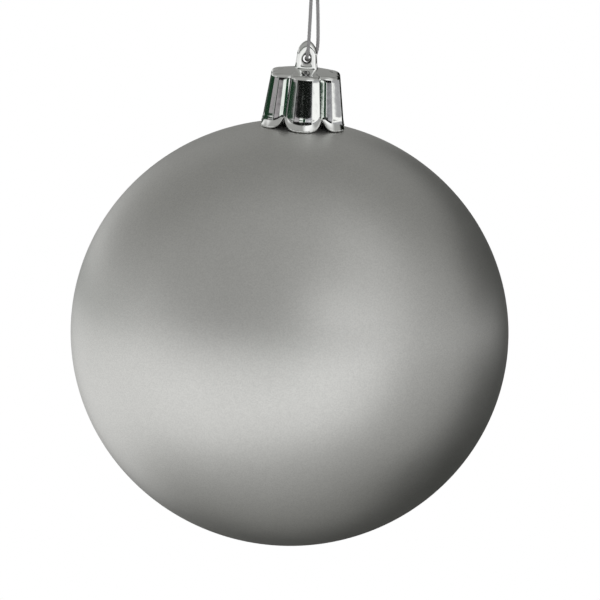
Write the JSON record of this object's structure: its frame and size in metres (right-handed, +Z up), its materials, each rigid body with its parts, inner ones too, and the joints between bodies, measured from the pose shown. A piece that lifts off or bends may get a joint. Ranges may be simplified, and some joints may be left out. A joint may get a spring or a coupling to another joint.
{
  "type": "glass ball ornament",
  "caption": "Satin silvered glass ball with a fluted bright cap whose moulded eyelet carries a tied loop of thin cord to hang it by.",
  "frame": {"origin": "top of the cord loop, just under its knot, where a hook or twig carries the ornament", "axes": "+Z up along the ornament's axis, from the ball through the cap to the loop; -Y is the front, which the eyelet's hole faces; +X to the right seen from the front"},
  "size_m": [0.08, 0.08, 0.1187],
  "materials": {
    "silvered_glass": "opaque satin silver lacquer over silvered glass",
    "bright_cap": "bright mirror metallising over moulded plastic",
    "metallic_cord": "twisted grey metallic thread"
  },
  "bodies": {
    "knot": {"cord_knot": "metallic_cord"},
    "cord": {"hanging_cord": "metallic_cord"},
    "cap": {"crown_cap": "bright_cap"},
    "ball": {"glass_ball": "silvered_glass"}
  },
  "joints": [
    {"name": "cord_twist", "type": "hinge", "parent": "knot", "child": "cord", "pos_m": [0, 0, 0], "axis": [0, 0, 1], "range_deg": [-180, 180]},
    {"name": "eyelet_swing", "type": "hinge", "parent": "cord", "child": "cap", "pos_m": [0, 0, -0.021], "axis": [0, 1, 0], "range_deg": [-70, 70]},
    {"name": "cap_pull", "type": "slide", "parent": "cap", "child": "ball", "axis": [0, 0, -1], "range_m": [0, 0.012]}
  ]
}
